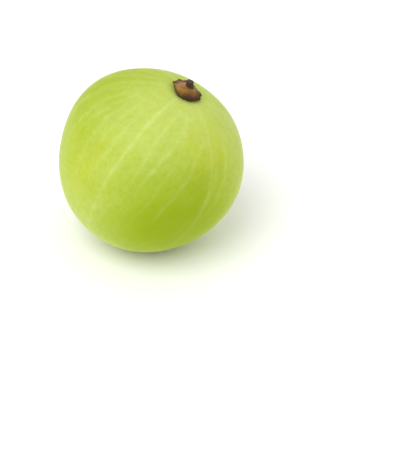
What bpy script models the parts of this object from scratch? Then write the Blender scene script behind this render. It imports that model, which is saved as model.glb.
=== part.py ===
"""Amla gooseberry: one whole fruit as picked, resting on a small flat spot with its stem end leaning over.

Frame, in metres: +Z is up and +X is the way the stem end leans. The origin is the middle of the flat spot,
on the surface that the fruit rests on. Each piece is first made upright about the fruit's own axis, with that
axis on Z and the equator at Z = 0, and then laid over with the rest.
"""

import math

import bmesh
import bpy
from mathutils import Matrix

# The fruit: two half spheroids that share an equator, with six soft lobes and a dimple at each end.
FRUIT_DIAMETER = 0.0360
STEM_SIDE_HEIGHT = 0.0153
BLOSSOM_SIDE_HEIGHT = 0.0200
FURROW_ANGLES = (2.0, 59.0, 117.0, 174.0, 238.0, 304.0)  # degrees round the fruit's axis, from the side it leans to
LOBE_SWELL = 0.013
STEM_DIMPLE_DEPTH = 0.0006
STEM_DIMPLE_REACH = 0.0036
BLOSSOM_DIMPLE_DEPTH = 0.0004
BLOSSOM_DIMPLE_REACH = 0.0022
LEAN_ANGLE = math.radians(24.5)
REST_FLATTENING = 0.0004

# The dried calyx: a low button that flares to a rim of six pointed sepals, over a narrower root.
SKIN_CLEARANCE = 0.0003
CALYX_ROOT_RADIUS = 0.0021
CALYX_RIM_LOW = 0.0153
CALYX_RIM_HIGH = 0.0156
CALYX_SHOULDER_RADIUS = 0.0021
CALYX_SHOULDER_HEIGHT = 0.0159
CALYX_CROWN_RADIUS = 0.0011
CALYX_CROWN_HEIGHT = 0.0161
FIRST_SEPAL_ANGLE = math.radians(30.0)
SEPAL_REACHES = (0.0035, 0.0032, 0.0036, 0.0028, 0.0028, 0.0031)  # one for each sepal, round from the first
SEPAL_NOTCH_RADIUS = 0.0025

# The pedicel, broken off just above the calyx.
PEDICEL_RADIUS = 0.0007
PEDICEL_BROKEN_RADIUS = 0.0006
PEDICEL_LENGTH = 0.0014
PEDICEL_EDGE_ROUNDING = 0.0001

# Facets
FRUIT_SEGMENTS = 60
FRUIT_RINGS = 40
CALYX_SEGMENTS = 36
PEDICEL_SEGMENTS = 16
MERGE_DISTANCE = 0.00001

SKIN_COLOUR = (0.52, 0.68, 0.13)
CALYX_COLOUR = (0.27, 0.15, 0.05)
PEDICEL_COLOUR = (0.04, 0.025, 0.018)


def clear_scene():
    for old in list(bpy.data.objects):
        bpy.data.objects.remove(old, do_unlink=True)


def make_material(name, colour, roughness):
    material = bpy.data.materials.new(name)
    material.use_nodes = True
    shader = material.node_tree.nodes["Principled BSDF"]
    shader.inputs["Base Color"].default_value = (*colour, 1.0)
    shader.inputs["Roughness"].default_value = roughness
    shader.inputs["Metallic"].default_value = 0.0
    return material


def add_piece(name, shape, material):
    """Turns a bmesh into a smooth-shaded object of that name."""
    bmesh.ops.recalc_face_normals(shape, faces=shape.faces)
    mesh = bpy.data.meshes.new(name)
    shape.to_mesh(mesh)
    shape.free()
    mesh.shade_smooth()
    mesh.set_sharp_from_angle(angle=math.radians(40.0))
    mesh.materials.append(material)
    piece = bpy.data.objects.new(name, mesh)
    bpy.context.scene.collection.objects.link(piece)
    return piece


def dimple(radius, depth, reach):
    return depth * math.exp(-((radius / reach) ** 2))


def skin_height(radius):
    """The height of the skin round the stem, at that distance from the fruit's axis."""
    share = radius / (FRUIT_DIAMETER / 2)
    return STEM_SIDE_HEIGHT * math.sqrt(1 - share**2) - dimple(radius, STEM_DIMPLE_DEPTH, STEM_DIMPLE_REACH)


def lobe_rise(azimuth):
    """-1 in a furrow and 1 on the back of a lobe. The lobes are not all equally wide."""
    degrees = math.degrees(azimuth) % 360
    edges = (FURROW_ANGLES[-1] - 360, *FURROW_ANGLES, FURROW_ANGLES[0] + 360)
    before, after = next(pair for pair in zip(edges, edges[1:]) if pair[0] <= degrees <= pair[1])
    return -math.cos(math.tau * (degrees - before) / (after - before))


def skin_point(direction):
    """Carries a point of the unit sphere onto the skin of the upright fruit."""
    x, y, z = direction
    off_axis = math.hypot(x, y)
    lobes = 1 + LOBE_SWELL * lobe_rise(math.atan2(y, x)) * off_axis**2
    spread = FRUIT_DIAMETER / 2 * lobes
    radius = spread * off_axis
    if z > 0:
        height = STEM_SIDE_HEIGHT * z - dimple(radius, STEM_DIMPLE_DEPTH, STEM_DIMPLE_REACH)
    else:
        height = BLOSSOM_SIDE_HEIGHT * z + dimple(radius, BLOSSOM_DIMPLE_DEPTH, BLOSSOM_DIMPLE_REACH)
    return spread * x, spread * y, height


def flatten_underside(shape):
    """Cuts the small flat spot that the leaning fruit rests on, and returns its middle."""
    floor = min(vert.co.z for vert in shape.verts) + REST_FLATTENING
    everything = shape.verts[:] + shape.edges[:] + shape.faces[:]
    cut = bmesh.ops.bisect_plane(
        shape, geom=everything, plane_co=(0, 0, floor), plane_no=(0, 0, 1), clear_inner=True, dist=MERGE_DISTANCE
    )
    ring = [item for item in cut["geom_cut"] if isinstance(item, bmesh.types.BMEdge)]
    spot = bmesh.ops.edgeloop_fill(shape, edges=ring)["faces"][0]
    corners = [vert.co for vert in spot.verts]
    middle_x = (min(co.x for co in corners) + max(co.x for co in corners)) / 2
    middle_y = (min(co.y for co in corners) + max(co.y for co in corners)) / 2
    return middle_x, middle_y, floor


def make_fruit():
    """The fleshy fruit, one solid. Returns the placement that lays the other pieces over with it."""
    shape = bmesh.new()
    bmesh.ops.create_uvsphere(shape, u_segments=FRUIT_SEGMENTS, v_segments=FRUIT_RINGS, radius=1.0)
    for vert in shape.verts:
        vert.co = skin_point(vert.co)
    lean = Matrix.Rotation(LEAN_ANGLE, 4, "Y")
    shape.transform(lean)
    middle_x, middle_y, floor = flatten_underside(shape)
    to_origin = Matrix.Translation((-middle_x, -middle_y, -floor))
    shape.transform(to_origin)
    add_piece("fruit", shape, make_material("waxy_green_skin", SKIN_COLOUR, 0.35))
    return to_origin @ lean


def rim_reach(angle):
    """The rim's radius at an angle round the stem: pointed sepals, each with its own reach, and round notches."""
    along = (angle - FIRST_SEPAL_ANGLE) * len(SEPAL_REACHES) / math.tau
    reach = SEPAL_REACHES[round(along) % len(SEPAL_REACHES)]
    between_tips = abs(math.sin(math.pi * along))
    return reach - (reach - SEPAL_NOTCH_RADIUS) * between_tips


def make_calyx(placement):
    """The woody button of the dried calyx, turned about the fruit's axis and then drawn out into sepals."""
    under_radii = (0.0, CALYX_ROOT_RADIUS / 2, CALYX_ROOT_RADIUS)
    under = [(radius, skin_height(radius) + SKIN_CLEARANCE) for radius in under_radii]
    rim = [(SEPAL_NOTCH_RADIUS, CALYX_RIM_LOW), (SEPAL_NOTCH_RADIUS, CALYX_RIM_HIGH)]
    top = [
        (CALYX_SHOULDER_RADIUS, CALYX_SHOULDER_HEIGHT),
        (CALYX_CROWN_RADIUS, CALYX_CROWN_HEIGHT),
        (0.0, CALYX_CROWN_HEIGHT),
    ]
    shape = bmesh.new()
    profile = [shape.verts.new((radius, 0.0, height)) for radius, height in under + rim + top]
    edges = [shape.edges.new(pair) for pair in zip(profile, profile[1:])]
    bmesh.ops.spin(
        shape,
        geom=profile + edges,
        cent=(0, 0, 0),
        axis=(0, 0, 1),
        angle=math.tau,
        steps=CALYX_SEGMENTS,
        use_merge=True,
    )
    bmesh.ops.remove_doubles(shape, verts=shape.verts, dist=MERGE_DISTANCE)
    for vert in shape.verts:
        on_rim = CALYX_RIM_LOW - MERGE_DISTANCE < vert.co.z < CALYX_RIM_HIGH + MERGE_DISTANCE
        if on_rim:
            growth = rim_reach(math.atan2(vert.co.y, vert.co.x)) / SEPAL_NOTCH_RADIUS
            vert.co.x *= growth
            vert.co.y *= growth
    shape.transform(placement)
    add_piece("calyx", shape, make_material("dried_calyx", CALYX_COLOUR, 0.75))


def make_pedicel_stub(placement):
    """The short end of the fruit's stalk, left on the calyx where it broke."""
    foot = CALYX_CROWN_HEIGHT + SKIN_CLEARANCE
    shape = bmesh.new()
    bmesh.ops.create_cone(
        shape,
        cap_ends=True,
        segments=PEDICEL_SEGMENTS,
        radius1=PEDICEL_RADIUS,
        radius2=PEDICEL_BROKEN_RADIUS,
        depth=PEDICEL_LENGTH,
        matrix=Matrix.Translation((0.0, 0.0, foot + PEDICEL_LENGTH / 2)),
    )
    broken_edge = [edge for edge in shape.edges if all(vert.co.z > foot + PEDICEL_LENGTH / 2 for vert in edge.verts)]
    bmesh.ops.bevel(
        shape, geom=broken_edge, offset=PEDICEL_EDGE_ROUNDING, segments=2, profile=0.5, affect="EDGES", material=-1
    )
    shape.transform(placement)
    add_piece("pedicel_stub", shape, make_material("broken_stalk", PEDICEL_COLOUR, 0.85))


def main():
    clear_scene()
    placement = make_fruit()
    make_calyx(placement)
    make_pedicel_stub(placement)


main()
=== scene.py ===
"""The looks of a whole amla gooseberry: waxy skin with pale veins, its dried calyx and its broken stalk."""

import math
import random

import bmesh
import bpy
import numpy as np
from mathutils import Matrix, Vector, noise


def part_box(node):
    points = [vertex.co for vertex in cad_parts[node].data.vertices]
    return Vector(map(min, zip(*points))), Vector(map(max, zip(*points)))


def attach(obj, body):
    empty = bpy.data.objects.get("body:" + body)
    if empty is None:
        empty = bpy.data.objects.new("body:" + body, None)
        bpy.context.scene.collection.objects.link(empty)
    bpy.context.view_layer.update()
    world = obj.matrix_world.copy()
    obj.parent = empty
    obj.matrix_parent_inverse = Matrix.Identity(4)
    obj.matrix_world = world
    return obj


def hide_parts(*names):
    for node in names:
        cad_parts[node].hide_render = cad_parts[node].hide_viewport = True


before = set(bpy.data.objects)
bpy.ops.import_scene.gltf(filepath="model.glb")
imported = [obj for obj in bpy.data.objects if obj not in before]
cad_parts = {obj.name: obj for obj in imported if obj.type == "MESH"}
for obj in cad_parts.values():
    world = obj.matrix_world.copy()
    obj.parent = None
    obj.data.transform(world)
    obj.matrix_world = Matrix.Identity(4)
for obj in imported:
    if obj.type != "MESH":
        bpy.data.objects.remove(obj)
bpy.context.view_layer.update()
MM = 0.001

# The fruit's shape, as its solid has it: two half spheroids on one equator, six lobes, a dimple at each end.
# Each piece is made upright, with the fruit's axis on Z and its equator at Z = 0, and then laid over.
FRUIT_RADIUS = 18.0 * MM
STEM_SIDE_HEIGHT = 15.3 * MM
BLOSSOM_SIDE_HEIGHT = 20.0 * MM
LOBE_SWELL = 0.013
FURROWS = (2.0, 59.0, 117.0, 174.0, 238.0, 304.0)
STEM_DIMPLE_DEPTH = 0.6 * MM
STEM_DIMPLE_REACH = 3.6 * MM
BLOSSOM_DIMPLE_DEPTH = 0.4 * MM
BLOSSOM_DIMPLE_REACH = 2.2 * MM
LEAN = math.radians(24.5)
STUB_MIDDLE_HEIGHT = 17.1 * MM


def fruit_placement():
    """The turn and the move that lay the upright fruit over, with its stalk where the frame has it."""
    low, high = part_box("pedicel_stub")
    stub_middle = (Vector(low) + Vector(high)) / 2
    lean = Matrix.Rotation(LEAN, 4, "Y")
    return Matrix.Translation(stub_middle - lean @ Vector((0, 0, STUB_MIDDLE_HEIGHT))) @ lean


PLACEMENT = fruit_placement()


# ---- helpers


def linear(hex_colour):
    """Turns an sRGB hex colour into the linear one that a shader takes."""
    channels = [int(hex_colour[start : start + 2], 16) / 255 for start in (1, 3, 5)]
    return (*[c / 12.92 if c <= 0.04045 else ((c + 0.055) / 1.055) ** 2.4 for c in channels], 1.0)


def add(tree, kind, inputs=None, **settings):
    """Adds a node with its settings. Each input takes a value, or another node's output to link to."""
    node = tree.nodes.new(kind)
    for name, value in settings.items():
        setattr(node, name, value)
    for socket, value in (inputs or {}).items():
        if isinstance(value, bpy.types.NodeSocket):
            tree.links.new(value, node.inputs[socket])
        else:
            node.inputs[socket].default_value = value
    return node


def new_material(name):
    """A new material, its node tree and its shader."""
    material = bpy.data.materials.new(name)
    material.use_nodes = True
    return material, material.node_tree, material.node_tree.nodes["Principled BSDF"]


def add_object(name, shape):
    """Makes the finished shape a smooth-shaded object at the origin."""
    mesh = bpy.data.meshes.new(name)
    shape.to_mesh(mesh)
    shape.free()
    mesh.shade_smooth()
    piece = bpy.data.objects.new(name, mesh)
    bpy.context.scene.collection.objects.link(piece)
    return piece


def stand_for(piece, node, material):
    """Lets a finished piece ride in place of a node of the frame."""
    piece.data.materials.append(material)
    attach(piece, "root")
    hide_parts(node)


def smooth_step(value, low, high):
    """0 up to the low end, 1 from the high end on, and a soft rise between them."""
    share = np.clip((value - low) / (high - low), 0.0, 1.0)
    return share * share * (3 - 2 * share)


def noise_at(points, grain, seed=0.0):
    """Smooth noise between -1 and 1 whose bumps are about as wide as the grain."""
    shift = Vector((seed, -seed, 2 * seed))
    return np.array([noise.noise(Vector(point) / grain + shift) for point in points])


def rounded(corners, count, rounding):
    """A line of evenly spaced points along those corners, with the corners worn round."""
    corners = np.array(corners)
    along = np.concatenate(([0.0], np.cumsum(np.hypot(*np.diff(corners, axis=0).T))))
    spots = np.linspace(0, along[-1], count)
    line = np.column_stack([np.interp(spots, along, values) for values in corners.T])
    for _ in range(rounding):
        line[1:-1] = (line[:-2] + 2 * line[1:-1] + line[2:]) / 4
    return line


def turned(profile, steps):
    """A closed shape turned about Z from a profile of radii and heights in mm, from its foot to its top."""
    shape = bmesh.new()
    line = [shape.verts.new((radius * MM, 0.0, height * MM)) for radius, height in profile]
    edges = [shape.edges.new(pair) for pair in zip(line, line[1:])]
    bmesh.ops.spin(
        shape, geom=line + edges, cent=(0, 0, 0), axis=(0, 0, 1), angle=math.tau, steps=steps, use_merge=True
    )
    bmesh.ops.remove_doubles(shape, verts=shape.verts, dist=0.002 * MM)
    return shape


def moved(shape, points):
    """Puts the shape's vertices at those points and turns its faces outwards."""
    for vert, point in zip(shape.verts, points):
        vert.co = point
    bmesh.ops.recalc_face_normals(shape, faces=shape.faces)


def paint(piece, name, values):
    """Keeps one number a vertex, for the piece's material to read."""
    attribute = piece.data.attributes.new(name, "FLOAT", "POINT")
    attribute.data.foreach_set("value", np.asarray(values, dtype=np.float32))


# ---- fruit

SKIN_SEGMENTS = 360
SKIN_RINGS = 240
# The crease in each furrow: its depth as a share of the radius, and its half width in degrees.
CREASE_DEPTH = 0.004
CREASE_WIDTH = 2.4
# Slow swells and small unevenness of the skin: (size in mm, height in mm, seed).
SWELLS = ((9.0, 0.10, 0), (2.5, 0.015, 5))
REST_SOFTNESS = 0.25 * MM
REST_GAP = 0.01 * MM


def furrow_phase(azimuth):
    """How far each azimuth, in degrees, is on its way from one furrow to the next, from 0 to 1."""
    edges = np.array((FURROWS[-1] - 360, *FURROWS, FURROWS[0] + 360))
    return np.interp(azimuth % 360, edges, np.arange(len(edges))) % 1.0


def skin_points(unit):
    """Carries points of the unit sphere onto the skin of the upright fruit."""
    off_axis = np.hypot(unit[:, 0], unit[:, 1])
    azimuth = np.degrees(np.arctan2(unit[:, 1], unit[:, 0]))
    phase = furrow_phase(azimuth)
    from_furrow = np.minimum(phase, 1 - phase) * 360 / len(FURROWS)
    lobes = 1 - LOBE_SWELL * np.cos(math.tau * phase) * off_axis**2
    crease = CREASE_DEPTH * np.exp(-((from_furrow / CREASE_WIDTH) ** 2)) * off_axis
    spread = FRUIT_RADIUS * (lobes - crease)
    radius = spread * off_axis
    stem_dimple = STEM_DIMPLE_DEPTH * np.exp(-((radius / STEM_DIMPLE_REACH) ** 2))
    blossom_dimple = BLOSSOM_DIMPLE_DEPTH * np.exp(-((radius / BLOSSOM_DIMPLE_REACH) ** 2))
    stem_side = STEM_SIDE_HEIGHT * unit[:, 2] - stem_dimple
    blossom_side = BLOSSOM_SIDE_HEIGHT * unit[:, 2] + blossom_dimple
    height = np.where(unit[:, 2] > 0, stem_side, blossom_side)
    points = np.column_stack((spread * unit[:, 0], spread * unit[:, 1], height))
    uneven = sum(height * MM * noise_at(points, size * MM, seed) for size, height, seed in SWELLS)
    return points * (1 + uneven / FRUIT_RADIUS)[:, None]


def laid_over(points):
    """Carries points of the upright fruit to where the fruit lies."""
    matrix = np.array(PLACEMENT)
    return points @ matrix[:3, :3].T + matrix[:3, 3]


def pressed_flat(points):
    """Presses the skin flat where it rests, with a soft edge round the spot."""
    height = points[:, 2]
    edge = np.maximum(REST_SOFTNESS - np.abs(height), 0) / REST_SOFTNESS
    points[:, 2] = np.maximum(height, 0) + edge**2 * REST_SOFTNESS / 4 + REST_GAP
    return points


# Every furrow holds a vein: its width in mm, its strength, and how many degrees from the stem it ends.
BOLD_FURROW = 238.0
BOLD_SUTURE = (0.32, 0.85, 138)
FAINT_SUTURE = (0.4, 0.35, 120)
SUTURE_STARTS = 8
# Past this many degrees from the stem it leans out of the furrow, by so many degrees at its end.
SUTURE_TURNS = 70
SUTURE_LEAN = -3
# The veins on the side with the boldest furrow: (width in mm, strength, place, place, ...), where a place is
# (degrees from the stem, degrees round the fruit).
VEINS = (
    (0.30, 0.35, (22, 222), (35, 224.5), (48, 226.5), (62, 228), (80, 227.5), (98, 226)),
    (0.35, 0.30, (30, 214), (50, 217), (62, 219), (80, 221)),
    (0.30, 0.30, (42, 207), (62, 211), (75, 212), (102, 216)),
    (0.30, 0.50, (20, 262), (34, 254), (50, 252.5), (68, 252.5), (80, 251), (92, 250)),
    (0.30, 0.50, (20, 276), (30, 274.5), (40, 270), (50, 265.5), (60, 261.5), (70, 258.5), (80, 257),
     (100, 254)),
    (0.25, 0.35, (24, 277), (36, 275.5), (46, 274.5), (58, 271.5), (72, 269.5), (84, 267), (102, 263)),
    (0.30, 0.40, (36, 297), (47, 290), (56, 287), (68, 283), (76, 280), (84, 277.5), (92, 275), (112, 272)),
    (0.30, 0.15, (25, 290), (40, 285), (52, 281), (70, 278)),
)
# The rest of the way round, from one azimuth to the other, veins are strewn. The pairs are the least and the
# most that each is given: degrees from the stem, degrees long, degrees of lean, width in mm, strength.
STREWN_FROM = 308.0
STREWN_TO = 564.0
STREWN_COUNT = 30
STREWN_SEED = 11
STREWN_START = (16, 40)
STREWN_LENGTH = (35, 75)
STREWN_LEAN = (-22, 4)
STREWN_WIDTH = (0.22, 0.5)
STREWN_STRENGTH = (0.12, 0.36)
# A vein is a fine line with a wider, fainter glow beside it. It fades in round its first place and out round
# its last, over these degrees from the stem.
LINE_SHARE = 0.7
GLOW_SPREAD = 3
FADES_IN = (-8, 10)
FADES_OUT = (-32, 10)
# Veins stray from their line by up to this many mm and come and go, in patches of this many mm.
VEIN_WANDER = 0.22
VEIN_PATCH = 1.8
VEIN_PATCH_MEAN = 0.8
VEIN_PATCH_SWING = 0.6
# The fibres between the veins: their size in radians, and their turn for each degree from the stem.
FIBRE_WIDTH = 0.09
FIBRE_LENGTH = 0.45
FIBRE_DRIFT = 0.25
FIBRE_STRENGTH = 0.09
# A second, finer set of them is this much narrower and shorter.
FINE_NARROWER = 1.9
FINE_SHORTER = 2.2


def suture(azimuth):
    """The vein in the furrow at that azimuth."""
    width, boldness, end = BOLD_SUTURE if azimuth == BOLD_FURROW else FAINT_SUTURE
    return (width, boldness, (SUTURE_STARTS, azimuth), (SUTURE_TURNS, azimuth), (end, azimuth + SUTURE_LEAN))


def strewn_vein(index, grower):
    """One of the veins that leave the stem between the furrows and lean a little as they run down."""
    step = (STREWN_TO - STREWN_FROM) / STREWN_COUNT
    azimuth = STREWN_FROM + (index + grower.uniform(0.2, 0.8)) * step
    start = grower.uniform(*STREWN_START)
    length = grower.uniform(*STREWN_LENGTH)
    lean = grower.uniform(*STREWN_LEAN)
    path = [(start + length * share, azimuth + lean * share**0.8) for share in (0, 0.2, 0.4, 0.6, 0.8, 1.0)]
    return (grower.uniform(*STREWN_WIDTH), grower.uniform(*STREWN_STRENGTH), *path)


def fibre_strength(polar, azimuth):
    """How much the fine fibres add at each place on the fruit, strongest round its middle."""
    drifted = np.radians(azimuth + FIBRE_DRIFT * polar)
    along = np.radians(polar) / FIBRE_LENGTH
    round_fruit = np.column_stack((np.cos(drifted), np.sin(drifted))) / FIBRE_WIDTH
    coarse = noise_at(np.column_stack((round_fruit, along)), 1.0, seed=2)
    fine = noise_at(np.column_stack((round_fruit * FINE_NARROWER, along * FINE_SHORTER)), 1.0, seed=7)
    return FIBRE_STRENGTH * np.sin(np.radians(polar)) ** 0.5 * (coarse + fine)


def vein_strength(unit):
    """How strongly veins and fine fibres show at each point of the unit sphere, from 0 to 1."""
    grower = random.Random(STREWN_SEED)
    strewn = [strewn_vein(index, grower) for index in range(STREWN_COUNT)]
    polar = np.degrees(np.arccos(np.clip(unit[:, 2], -1, 1)))
    azimuth = np.degrees(np.arctan2(unit[:, 1], unit[:, 0]))
    ring_radius = FRUIT_RADIUS / MM * np.sin(np.radians(polar))
    wander = VEIN_WANDER * noise_at(unit, VEIN_PATCH * MM / FRUIT_RADIUS, seed=9)
    patches = VEIN_PATCH_MEAN + VEIN_PATCH_SWING * noise_at(unit, VEIN_PATCH * MM / FRUIT_RADIUS, seed=13)
    strength = np.zeros(len(unit))
    for width, boldness, *path in [*map(suture, FURROWS), *VEINS, *strewn]:
        from_stem, bearing = rounded(path, count=60, rounding=40).T
        aside = (azimuth - np.interp(polar, from_stem, bearing) + 180) % 360 - 180
        across = (np.radians(aside) * ring_radius + wander) / width
        glow = np.exp(-((across / GLOW_SPREAD) ** 2))
        line = LINE_SHARE * np.exp(-(across**2)) + (1 - LINE_SHARE) * glow
        begins = smooth_step(polar, from_stem[0] + FADES_IN[0], from_stem[0] + FADES_IN[1])
        ends = smooth_step(polar, from_stem[-1] + FADES_OUT[0], from_stem[-1] + FADES_OUT[1])
        strength = np.maximum(strength, boldness * begins * (1 - ends) * patches * line)
    return np.clip(strength + fibre_strength(polar, azimuth), 0, 1)


def make_fruit():
    """The whole fruit in its skin: one closed shape, lobed, dimpled at both ends, flat where it rests."""
    shape = bmesh.new()
    bmesh.ops.create_uvsphere(shape, u_segments=SKIN_SEGMENTS, v_segments=SKIN_RINGS, radius=1.0)
    unit = np.array([vert.co for vert in shape.verts])
    moved(shape, pressed_flat(laid_over(skin_points(unit))))
    fruit = add_object("fruit_skin", shape)
    paint(fruit, "veins", vein_strength(unit))
    stand_for(fruit, "fruit", waxy_skin())


def own_coordinates(tree):
    """Object coordinates turned into the upright fruit's own, with Z along its axis."""
    place = add(tree, "ShaderNodeTexCoord").outputs["Object"]
    inputs = {"Vector": place, "Location": PLACEMENT.translation, "Rotation": (0, LEAN, 0)}
    return add(tree, "ShaderNodeMapping", inputs, vector_type="TEXTURE").outputs["Vector"]


# The mix node keeps a set of sockets for each data type: 6 and 7 are its colours, 2 its colour result.
COLOUR_A, COLOUR_B, COLOUR_OUT = 6, 7, 2
# How pale the skin is, from 0 to 1: this much all over, paler towards one side as painted light, and changed
# round some places and by some patterns. A spot is (its change, its place in the upright fruit's own mm): the
# first is a painted highlight near the stem, the second and third are painted shade low on the front and high
# on the far side, and the last is a paler tone of the skin itself. The pores are drawn coarser than real
# ones, so that they show.
PALENESS = 0.30
PAINTED_LIGHT_TOWARDS = Vector((0.12, -0.29, -0.06))
LIGHT_AND_TONE_SPOTS = (
    (0.26, (-3, -1, 11)),
    (-0.9, (5.5, -14, -4)),
    (-0.10, (-13, 6, 11)),
    (0.30, (-4, 15, 0)),
)
SPOT_REACH = 20 * MM
CLOUD_SIZE = 5 * MM
CLOUD_CHANGE = 0.20
MOTTLE_SIZE = 1.1 * MM
MOTTLE_CHANGE = 0.22
PORE_SIZE = 0.45 * MM
PORE_CHANGE = 0.18
# Where the skin has begun to turn yellow: round these places, and in small patches all over.
BLUSH_SPOTS = ((-14, -11, -1), (8, -12, 11), (6, 15, 3), (-9, 8, 12))
BLUSH_REACH = 12 * MM
BLUSH_PATCH_SIZE = 2.6 * MM
BLUSH_START = -0.5
BLUSH_IN_SPOTS = 0.7
BLUSH_IN_PATCHES = 1.4
# How far the veins' own colour covers the flesh where they are strongest.
VEIN_COVER = 0.36
BLOSSOM_SCAR = (0, 0, -19.6)
SCAR_REACH = 0.9 * MM


def soft_spot(tree, own, middle, reach):
    """1 at that place, falling softly to 0 at that distance from it."""
    away = add(tree, "ShaderNodeVectorMath", {0: own, 1: Vector(middle) * MM}, operation="DISTANCE")
    inputs = {"Value": away.outputs["Value"], "From Max": reach, "To Min": 1.0, "To Max": 0.0}
    return add(tree, "ShaderNodeMapRange", inputs, interpolation_type="SMOOTHSTEP").outputs["Result"]


def summed(tree, start, parts):
    """start + source * factor + source * factor ..., for each source and factor of the parts."""
    total = start
    for source, factor in parts:
        step = add(tree, "ShaderNodeMath", {0: source, 1: factor, 2: total}, operation="MULTIPLY_ADD")
        total = step.outputs["Value"]
    return total


def waxy_skin():
    """Amla skin, grown smooth under wax: light sinks in and glows yellow-green, with paler veins inside, a
    painted highlight and painted shade.
    """
    material, tree, shader = new_material("waxy_fruit_skin")
    own = own_coordinates(tree)
    clouds, mottle, pores, patches = [
        add(tree, "ShaderNodeTexNoise", {"Vector": own, "Scale": 1 / size, "Detail": 2.5}).outputs["Fac"]
        for size in (CLOUD_SIZE, MOTTLE_SIZE, PORE_SIZE, BLUSH_PATCH_SIZE)
    ]
    # Paler towards one side: painted light, as though that side were lit.
    inputs = {0: own, 1: PAINTED_LIGHT_TOWARDS / FRUIT_RADIUS}
    shading_side = add(tree, "ShaderNodeVectorMath", inputs, operation="DOT_PRODUCT")
    parts = [(shading_side.outputs["Value"], 1.0)]
    # The spots: a painted highlight, two painted shades and a paler tone of the skin, in the order listed
    # above.
    parts += [(soft_spot(tree, own, middle, SPOT_REACH), change) for change, middle in LIGHT_AND_TONE_SPOTS]
    parts += [(clouds, CLOUD_CHANGE), (mottle, MOTTLE_CHANGE), (pores, PORE_CHANGE)]
    flesh_and_light = add(tree, "ShaderNodeValToRGB", {"Fac": summed(tree, PALENESS, parts)})
    stops = flesh_and_light.color_ramp.elements
    stops[0].color = linear("#8a9f03")
    stops[1].color = linear("#c8d582")
    stops.new(0.5).color = linear("#98ae15")
    flesh_and_light.color_ramp.interpolation = "B_SPLINE"
    blushes = [(patches, BLUSH_IN_PATCHES)]
    blushes += [(soft_spot(tree, own, middle, BLUSH_REACH), BLUSH_IN_SPOTS) for middle in BLUSH_SPOTS]
    veins = add(tree, "ShaderNodeAttribute", attribute_name="veins").outputs["Fac"]
    layers = (
        ("MULTIPLY", summed(tree, BLUSH_START, blushes), "#fff9bc"),
        ("MIX", summed(tree, 0.0, [(veins, VEIN_COVER)]), "#dcea9e"),
        ("MIX", soft_spot(tree, own, BLOSSOM_SCAR, SCAR_REACH), "#5c4a20"),
    )
    colour = flesh_and_light.outputs["Color"]
    for kind, share, tint in layers:
        inputs = {"Factor": share, COLOUR_A: colour, COLOUR_B: linear(tint)}
        mix = add(tree, "ShaderNodeMix", inputs, data_type="RGBA", blend_type=kind)
        colour = mix.outputs[COLOUR_OUT]
    tree.links.new(colour, shader.inputs["Base Color"])
    bump = add(tree, "ShaderNodeBump", {"Height": pores, "Strength": 0.15, "Distance": 0.04 * MM})
    tree.links.new(bump.outputs["Normal"], shader.inputs["Normal"])
    shader.inputs["Roughness"].default_value = 0.5
    shader.inputs["IOR"].default_value = 1.45
    shader.inputs["Specular IOR Level"].default_value = 0.1
    shader.inputs["Sheen Weight"].default_value = 0.15
    shader.inputs["Sheen Roughness"].default_value = 0.25
    shader.inputs["Subsurface Weight"].default_value = 1.0
    shader.inputs["Subsurface Radius"].default_value = (1.0, 1.0, 0.3)
    shader.inputs["Subsurface Scale"].default_value = 4.0 * MM
    return material


# ---- calyx

CALYX_STEPS = 240
BUTTON_PROFILE = (
    (0.0, 14.62),
    (2.0, 14.62),
    (2.2, 14.85),
    (2.45, 15.15),
    (2.6, 15.38),
    (2.5, 15.56),
    (2.15, 15.85),
    (1.5, 16.12),
    (0.8, 16.28),
    (0.0, 16.32),
)
# In mm: the radii where the button's rim begins and lies, and the heights where its side becomes its top.
RIM_STARTS = 1.5
RIM_RADIUS = 2.6
SHOULDER = (15.2, 15.5)
# How far a sepal has to reach to be a tip, and how far to be raised: not at all, and fully.
TIP_REACH = (2.7, 3.2)
RAISED_LIFT = (0.2, 0.5)
TIP_THINNING = 0.08
# The ridges that run out over the button, between these radii in mm, bent by lumps of this size.
RIDGE_COUNT = 19
RIDGE_BEND = 3
RIDGE_BEND_SIZE = 1.5 * MM
RIDGE_HEIGHT = 0.03
RIDGE_BAND = (0.6, 1.6)
# Lumps on the button's top: (size in mm, height in mm).
LUMPS = ((0.9, 0.10), (0.3, 0.035))
# The side where the rim is folded under and darkest, its dark dried sepals there darkened further by painted
# shadow under the rim, and the radii in mm between which it darkens there and along the rest of its edge. A
# raised edge is darker, and dark from further in.
FOLDED_SIDE = -50
FOLDED_BAND = (2.0, 2.4)
FOLDED_AND_SHADOW_DARKNESS = 0.95
EDGE_BAND = (2.2, 2.5)
EDGE_DARKNESS = 0.6
RAISED_DARKER = 0.35
RAISED_WIDER = 0.3
# The rim round the stem: (azimuth, how far it reaches from the axis in mm, how far it is raised in mm).
RIM = (
    (-40, 2.7, -0.05),
    (-26, 3.15, 0.0),
    (-14, 3.15, 0.05),
    (-4, 2.75, 0.1),
    (7, 3.35, 0.05),
    (20, 3.4, 0.05),
    (32, 2.65, 0.2),
    (62, 2.7, 0.5),
    (88, 3.2, 0.65),
    (104, 2.85, 0.45),
    (120, 3.4, 0.35),
    (140, 3.0, 0.3),
    (159, 3.3, 0.35),
    (178, 2.5, 0.05),
    (208, 2.45, -0.05),
    (236, 2.75, -0.15),
    (268, 2.6, -0.15),
    (298, 2.8, -0.1),
)


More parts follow.
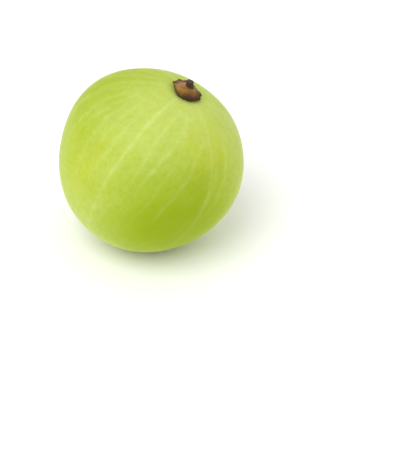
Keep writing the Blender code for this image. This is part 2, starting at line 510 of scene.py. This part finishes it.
def make_calyx():
    """The dried calyx: a woody button whose rim is drawn out into shrivelled sepals, most of them bent up."""
    shape = turned(rounded(BUTTON_PROFILE, count=90, rounding=4), CALYX_STEPS)
    points = np.array([vert.co for vert in shape.verts])
    radius = np.hypot(points[:, 0], points[:, 1]) / MM
    azimuth = np.degrees(np.arctan2(points[:, 1], points[:, 0]))
    directions, reaches, lifts = zip(*RIM)
    reach = np.interp(azimuth, directions, reaches, period=360)
    lift = np.interp(azimuth, directions, lifts, period=360)
    rim = smooth_step(radius, RIM_STARTS, RIM_RADIUS)
    tip = rim * smooth_step(reach, *TIP_REACH)
    on_top = smooth_step(points[:, 2] / MM, *SHOULDER)
    ridge_phase = np.radians(azimuth) * RIDGE_COUNT + RIDGE_BEND * noise_at(points, RIDGE_BEND_SIZE)
    ridges = np.sin(ridge_phase) * smooth_step(radius, *RIDGE_BAND)
    lumps = sum(height * noise_at(points, size * MM) for size, height in LUMPS)
    swell = lumps + RIDGE_HEIGHT * ridges
    grow = 1 + rim**2 * (reach / RIM_RADIUS - 1)
    points[:, :2] *= grow[:, None]
    points[:, 2] += (rim**2 * lift + on_top * swell - TIP_THINNING * tip * on_top) * MM
    moved(shape, laid_over(points))
    calyx = add_object("dried_calyx", shape)
    shading_side = np.cos(np.radians(azimuth - FOLDED_SIDE))
    # Dark dried sepals on the folded side, with painted shadow under the rim there.
    folded_and_shadow = FOLDED_AND_SHADOW_DARKNESS * smooth_step(radius, *FOLDED_BAND) * smooth_step(shading_side, 0.2, 0.7)
    raised = smooth_step(lift, *RAISED_LIFT)
    edge = (EDGE_DARKNESS + RAISED_DARKER * raised) * smooth_step(radius + RAISED_WIDER * raised, *EDGE_BAND)
    # The mask darkens the curled sepal tips, paints shade on the rim's side below its top, and painted shadow
    # under the folded rim.
    paint(calyx, "curled_and_shaded", np.maximum.reduce((tip, rim * (1 - on_top), folded_and_shadow, edge)))
    stand_for(calyx, "calyx", dried_sepals())


BROWNING_SIZE = 1.1 * MM
BROWNING_CHANGE = 0.9
# The colour runs darker by this much for each metre that way, from a painted pinkish highlight to painted
# red-brown shade; the mottle over it is the tissue's own browning.
SHADED_TOWARDS = (90, -220, 0)
WRINKLE_SIZE = 0.25 * MM


def dried_sepals():
    """Sepal tissue dried hard: dull and ridged, tan where it still stands with a painted highlight and
    painted shade on opposite sides, near black where it curled, with painted shade under its rim.
    """
    material, tree, shader = new_material("shrivelled_sepals")
    own = own_coordinates(tree)
    mottle = add(tree, "ShaderNodeTexNoise", {"Vector": own, "Scale": 1 / BROWNING_SIZE, "Detail": 4.0})
    shading_side = add(tree, "ShaderNodeVectorMath", {0: own, 1: SHADED_TOWARDS}, operation="DOT_PRODUCT")
    browning_and_shade = summed(tree, shading_side.outputs["Value"], [(mottle.outputs["Fac"], BROWNING_CHANGE)])
    tan = add(tree, "ShaderNodeValToRGB", {"Fac": browning_and_shade})
    stops = tan.color_ramp.elements
    # The ramp runs from a pinkish painted highlight to red-brown painted shade.
    stops[0].position = 0.15
    stops[0].color = linear("#a8785a")
    stops[1].position = 0.95
    stops[1].color = linear("#5c2f16")
    stops.new(0.5).color = linear("#8a6820")
    curled_and_shaded = add(tree, "ShaderNodeAttribute", attribute_name="curled_and_shaded").outputs["Fac"]
    inputs = {"Factor": curled_and_shaded, COLOUR_A: tan.outputs["Color"], COLOUR_B: linear("#332200")}
    colour = add(tree, "ShaderNodeMix", inputs, data_type="RGBA")
    tree.links.new(colour.outputs[COLOUR_OUT], shader.inputs["Base Color"])
    wrinkles = add(tree, "ShaderNodeTexNoise", {"Vector": own, "Scale": 1 / WRINKLE_SIZE, "Detail": 3.0})
    inputs = {"Height": wrinkles.outputs["Fac"], "Strength": 0.5, "Distance": 0.06 * MM}
    bump = add(tree, "ShaderNodeBump", inputs)
    tree.links.new(bump.outputs["Normal"], shader.inputs["Normal"])
    shader.inputs["Roughness"].default_value = 0.6
    shader.inputs["IOR"].default_value = 1.5
    shader.inputs["Specular IOR Level"].default_value = 0.25
    return material


# ---- broken stalk

STUB_STEPS = 96
STUB_PROFILE = (
    (0.0, -0.25),
    (0.9, -0.25),
    (0.82, 0.0),
    (0.74, 0.2),
    (0.68, 0.7),
    (0.65, 1.15),
    (0.56, 1.3),
    (0.35, 1.27),
    (0.0, 1.21),
)
STUB_FOOT = Vector((0.25, 0.62, 16.25)) * MM
STUB_TILT = math.radians(-18)
# The break: the heights in mm where it starts and is complete, its slope, and its splinters, which are drawn
# out along the stalk.
BREAK_BAND = (1.1, 1.4)
BREAK_SLOPE = 0.25
SPLINTER_SIZE = 0.28 * MM
SPLINTER_HEIGHT = 0.12 * MM
SPLINTER_SQUEEZE = (1, 1, 0.2)
# Its fibres: how many there are in a radian round it, and their relief as a share of its radius.
STALK_FIBRES = 3.5
STALK_FIBRE_RELIEF = 0.09
STALK_BUMP_SIZE = 0.6 * MM
STALK_BUMP_RELIEF = 0.08


def make_stub():
    """The stalk's short dark end, fibrous round its side, with a ragged hollow top where it snapped."""
    shape = turned(rounded(STUB_PROFILE, count=60, rounding=2), STUB_STEPS)
    points = np.array([vert.co for vert in shape.verts])
    azimuth = np.arctan2(points[:, 1], points[:, 0])
    snapped = smooth_step(points[:, 2] / MM, *BREAK_BAND)
    round_stub = np.column_stack((np.cos(azimuth), np.sin(azimuth))) * STALK_FIBRES
    fibres = noise_at(np.column_stack((round_stub, points[:, 2] / MM)), 1.0, seed=4)
    ragged = noise_at(points * SPLINTER_SQUEEZE, SPLINTER_SIZE, seed=3)
    bumps = noise_at(points, STALK_BUMP_SIZE)
    points[:, :2] *= (1 + STALK_FIBRE_RELIEF * fibres + STALK_BUMP_RELIEF * bumps)[:, None]
    points[:, 2] += snapped * (SPLINTER_HEIGHT * ragged - BREAK_SLOPE * points[:, 0])
    tilt = np.array(Matrix.Rotation(STUB_TILT, 3, "Y"))
    moved(shape, laid_over(points @ tilt.T + STUB_FOOT))
    stub = add_object("broken_stalk", shape)
    paint(stub, "snapped", snapped)
    stand_for(stub, "pedicel_stub", weathered_stalk())


# A bark fibre is this wide and this long.
BARK_FIBRE = (0.3 * MM, 0.3 * MM, 1.5 * MM)


def weathered_stalk():
    """Woody stalk, snapped off and dried: near-black bark, and a greyer fibrous end that shows up lighter."""
    material, tree, shader = new_material("snapped_dry_stalk")
    own = own_coordinates(tree)
    lengthened = add(tree, "ShaderNodeMapping", {"Vector": own, "Scale": [1 / size for size in BARK_FIBRE]})
    inputs = {"Vector": lengthened.outputs["Vector"], "Scale": 1.0, "Detail": 3.0}
    grain = add(tree, "ShaderNodeTexNoise", inputs)
    snapped = add(tree, "ShaderNodeAttribute", attribute_name="snapped")
    colour = linear("#2a1a0c")
    for source, tint in ((grain, "#4c3826"), (snapped, "#54463e")):
        inputs = {"Factor": source.outputs["Fac"], COLOUR_A: colour, COLOUR_B: linear(tint)}
        colour = add(tree, "ShaderNodeMix", inputs, data_type="RGBA").outputs[COLOUR_OUT]
    tree.links.new(colour, shader.inputs["Base Color"])
    inputs = {"Height": grain.outputs["Fac"], "Strength": 0.6, "Distance": 0.05 * MM}
    bump = add(tree, "ShaderNodeBump", inputs)
    tree.links.new(bump.outputs["Normal"], shader.inputs["Normal"])
    shader.inputs["Roughness"].default_value = 0.75
    shader.inputs["IOR"].default_value = 1.5
    shader.inputs["Specular IOR Level"].default_value = 0.3
    return material


# ---- stage

ROOM_BRIGHTNESS = 0.9
SOFTBOX_PLACE = (-0.27, -0.43, 0.72)
SOFTBOX_WIDTH = 0.7
SOFTBOX_POWER = 4.0
FLOOR_HALF_WIDTH = 3.0


def make_floor():
    """Matt paper, rolled smooth: plain and nearly white, with no shine to compete with the fruit."""
    shape = bmesh.new()
    bmesh.ops.create_grid(shape, x_segments=1, y_segments=1, size=FLOOR_HALF_WIDTH)
    floor = add_object("floor", shape)
    material, _, shader = new_material("matt_white_paper")
    shader.inputs["Base Color"].default_value = linear("#fcfcfa")
    shader.inputs["Roughness"].default_value = 0.9
    shader.inputs["Specular IOR Level"].default_value = 0.2
    floor.data.materials.append(material)


def light_scene():
    """A white room all round, and one large soft light overhead on the left."""
    world = bpy.data.worlds.new("white_studio")
    world.use_nodes = True
    sky = world.node_tree.nodes["Background"]
    sky.inputs["Color"].default_value = linear("#ffffff")
    sky.inputs["Strength"].default_value = ROOM_BRIGHTNESS
    bpy.context.scene.world = world
    lamp = bpy.data.lights.new("overhead_softbox", "AREA")
    lamp.shape = "DISK"
    lamp.size = SOFTBOX_WIDTH
    lamp.energy = SOFTBOX_POWER
    softbox = bpy.data.objects.new("overhead_softbox", lamp)
    softbox.location = SOFTBOX_PLACE
    softbox.rotation_euler = (PLACEMENT.translation - softbox.location).to_track_quat("-Z", "Y").to_euler()
    bpy.context.scene.collection.objects.link(softbox)
    bpy.context.scene.view_settings.view_transform = "Standard"


CAMERA_ELEVATION = math.radians(33.4)
CAMERA_DISTANCE = 578.5 * MM
CAMERA_FOCAL_LENGTH = 236.3
AIM_RIGHT_OF_FRUIT = 8.82 * MM
AIM_BELOW_FRUIT = 14.62 * MM


def place_camera():
    """A long lens in front, a third of the way up, with the fruit in the upper left of the picture."""
    right = Vector((1, 0, 0))
    up = Vector((0, math.sin(CAMERA_ELEVATION), math.cos(CAMERA_ELEVATION)))
    back = Vector((0, -math.cos(CAMERA_ELEVATION), math.sin(CAMERA_ELEVATION)))
    fruit_middle = PLACEMENT.translation
    aim = fruit_middle + right * AIM_RIGHT_OF_FRUIT - up * AIM_BELOW_FRUIT
    lens = bpy.data.cameras.new("camera")
    lens.lens = CAMERA_FOCAL_LENGTH
    camera = bpy.data.objects.new("camera", lens)
    camera.location = fruit_middle + back * CAMERA_DISTANCE
    camera.rotation_euler = (aim - camera.location).to_track_quat("-Z", "Y").to_euler()
    bpy.context.scene.collection.objects.link(camera)
    bpy.context.scene.camera = camera


place_camera()
light_scene()
make_floor()
make_fruit()
make_calyx()
make_stub()
